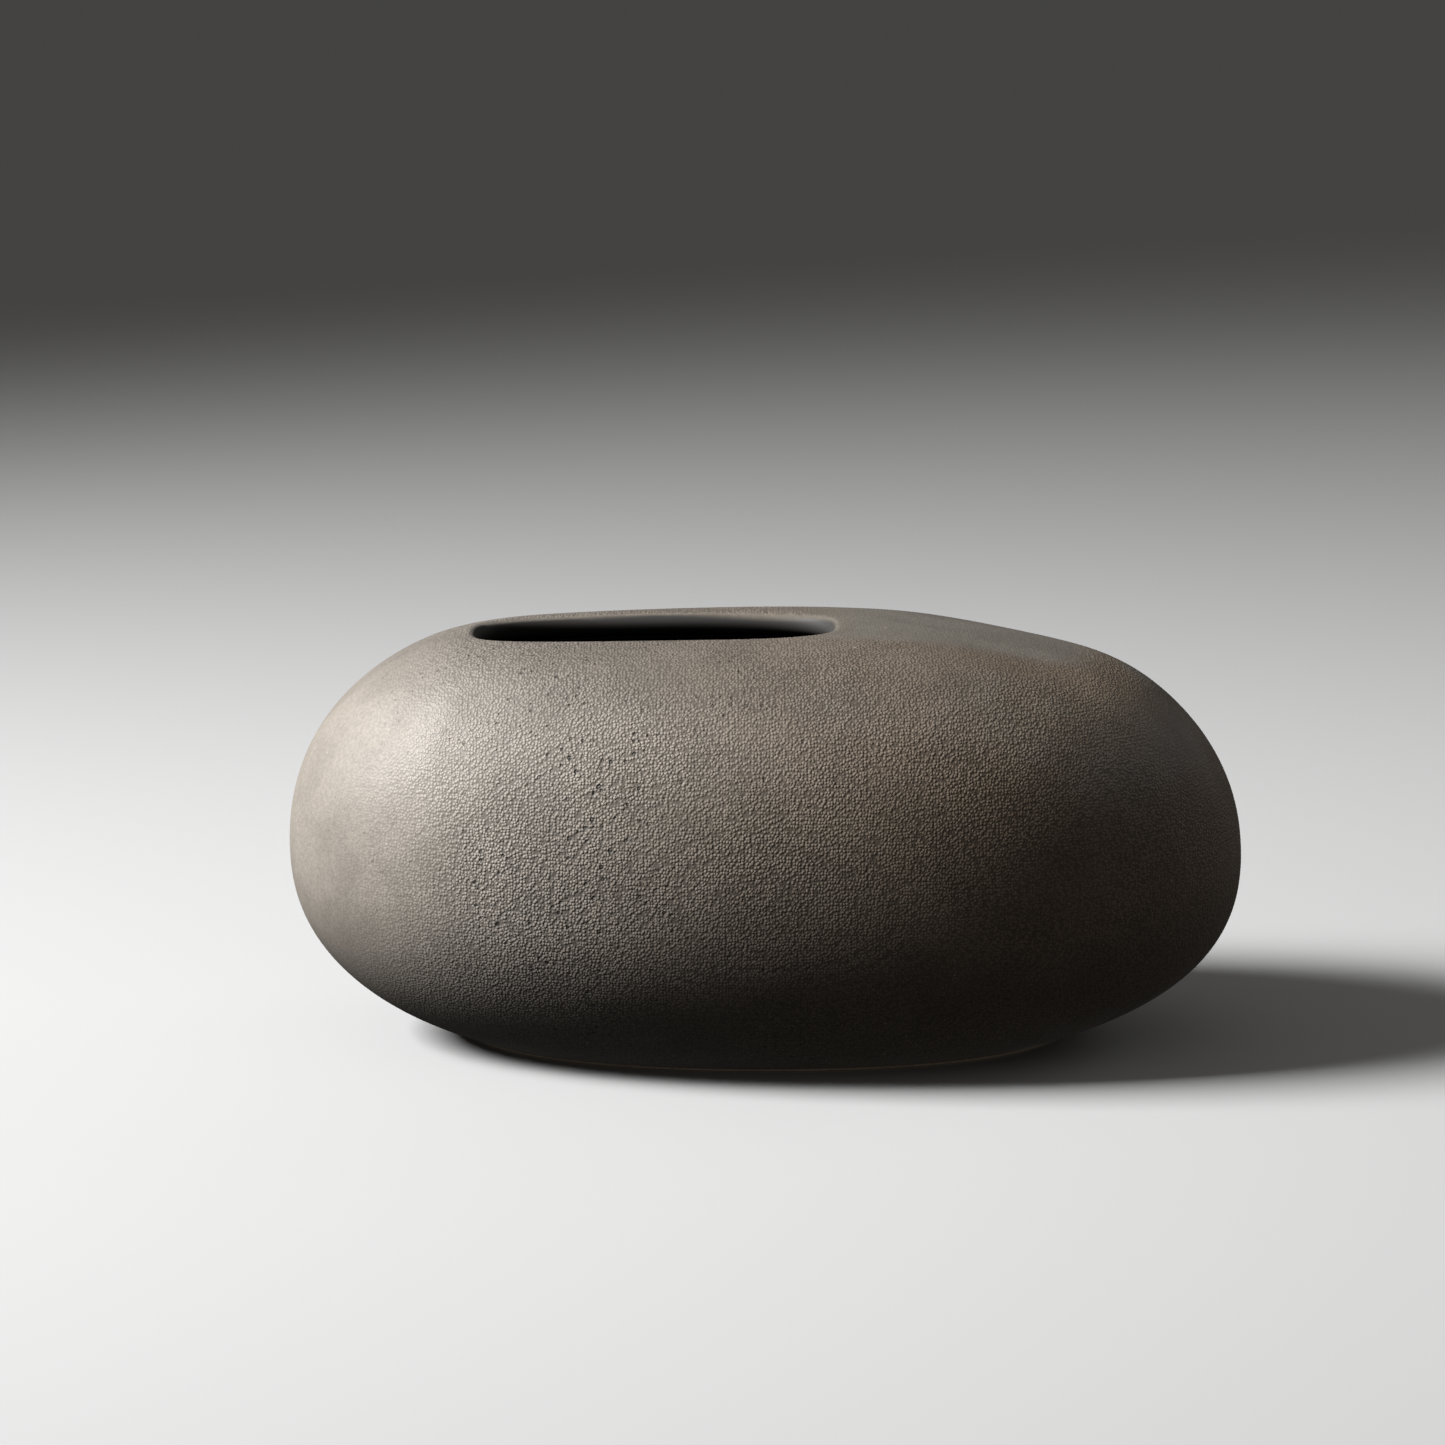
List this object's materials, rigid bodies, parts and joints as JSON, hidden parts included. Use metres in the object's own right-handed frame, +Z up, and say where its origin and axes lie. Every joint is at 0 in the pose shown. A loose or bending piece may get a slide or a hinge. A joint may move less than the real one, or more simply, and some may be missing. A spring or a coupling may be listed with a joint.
{
  "type": "pebble vase",
  "caption": "Low pebble-shaped stoneware vase with a long rounded mouth off centre in its top, a glazed hollow inside and soft pads under the foot.",
  "frame": {"origin": "on the surface that the vase stands on, under the middle of its body", "axes": "+X along the longest side, away from the mouth's end; +Y across; +Z up"},
  "size_m": [0.25, 0.14, 0.1089],
  "materials": {
    "outer_glaze": "satin",
    "inner_glaze": "gloss",
    "foot_pad": "matte"
  },
  "bodies": {
    "root": {"vase_body": "outer_glaze", "inner_glaze": "inner_glaze", "foot_pad_1": "foot_pad", "foot_pad_2": "foot_pad", "foot_pad_3": "foot_pad", "foot_pad_4": "foot_pad"}
  },
  "joints": []
}
